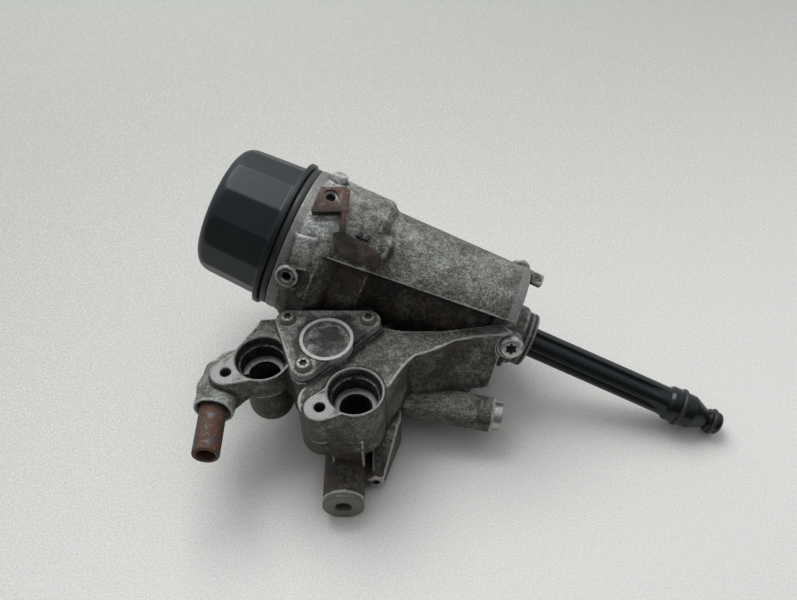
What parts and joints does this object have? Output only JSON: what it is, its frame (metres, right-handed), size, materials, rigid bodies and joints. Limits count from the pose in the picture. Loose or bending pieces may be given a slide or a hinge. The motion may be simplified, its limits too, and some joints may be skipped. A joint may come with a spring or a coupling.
{
  "type": "oil filter housing",
  "caption": "Die-cast oil filter housing with a faceted screw cap, a long fluted drain rod, two vertical ports, a pipe stub and bolt tubes.",
  "frame": {"origin": "centre of the oil port in the flat flange that seats on the engine block", "axes": "+Z along the axes of the two upper ports, away from the block; -Y towards the foot tube and the pipe stub; +X towards the end of the drain rod"},
  "size_m": [0.292, 0.1787, 0.1252],
  "materials": {
    "cast_aluminium": "rough die-cast, dull and dirty",
    "cap_plastic": "satin dark grey",
    "rod_plastic": "glossy black",
    "black_rubber": "matt",
    "filter_paper": "matt",
    "cage_plastic": "matt",
    "machined_aluminium": "dull flat",
    "plated_steel": "worn",
    "rusty_steel": "rusty",
    "bright_steel": "satin",
    "gasket": "matt",
    "spring_steel": "satin"
  },
  "bodies": {
    "housing": {"main_casting": "cast_aluminium", "spigot_rings": "black_rubber", "valve_cover": "machined_aluminium", "cover_gasket": "gasket", "cover_screws": "plated_steel", "valve_stop_ring": "bright_steel", "valve_spring": "spring_steel", "pipe_stub": "rusty_steel", "bolt_sleeve": "bright_steel", "foot_bush": "bright_steel", "gallery_plug": "plated_steel", "plug_washer": "bright_steel", "sheet_bracket": "rusty_steel", "cable_clip": "rod_plastic"},
    "insert": {"drain_rod": "rod_plastic", "filter_core": "cage_plastic", "filter_pleats": "filter_paper", "element_upper_disc": "cage_plastic", "element_lower_disc": "cage_plastic", "rod_gland_ring": "black_rubber", "rod_tip_ring": "black_rubber", "bypass_spring": "spring_steel"},
    "cap": {"filter_cap": "cap_plastic", "cap_seal_ring": "black_rubber"},
    "bypass": {"bypass_poppet": "cage_plastic"},
    "piston": {"valve_piston": "bright_steel"}
  },
  "joints": [
    {"name": "cap_lift", "type": "slide", "parent": "housing", "child": "insert", "axis": [-0.9148, 0.289, 0.2823], "range_m": [0, 0.01]},
    {"name": "cap_turn", "type": "hinge", "parent": "insert", "child": "cap", "pos_m": [-0.0412, 0.0407, 0.081], "axis": [-0.9148, 0.289, 0.2823], "range_deg": [0, 905]},
    {"name": "bypass_open", "type": "slide", "parent": "insert", "child": "bypass", "axis": [0.9148, -0.289, -0.2823], "range_m": [0, 0.005], "stiffness_N_per_m": 900, "springref_m": -0.004, "deforming": ["bypass_spring"]},
    {"name": "valve_lift", "type": "slide", "parent": "housing", "child": "piston", "axis": [0, 0, 1], "range_m": [0, 0.007], "stiffness_N_per_m": 1500, "springref_m": -0.005, "deforming": ["valve_spring"]}
  ],
  "couplings": [
    {"joint": "cap_turn", "follows": "cap_lift", "rad_per_m": 1570.8}
  ]
}
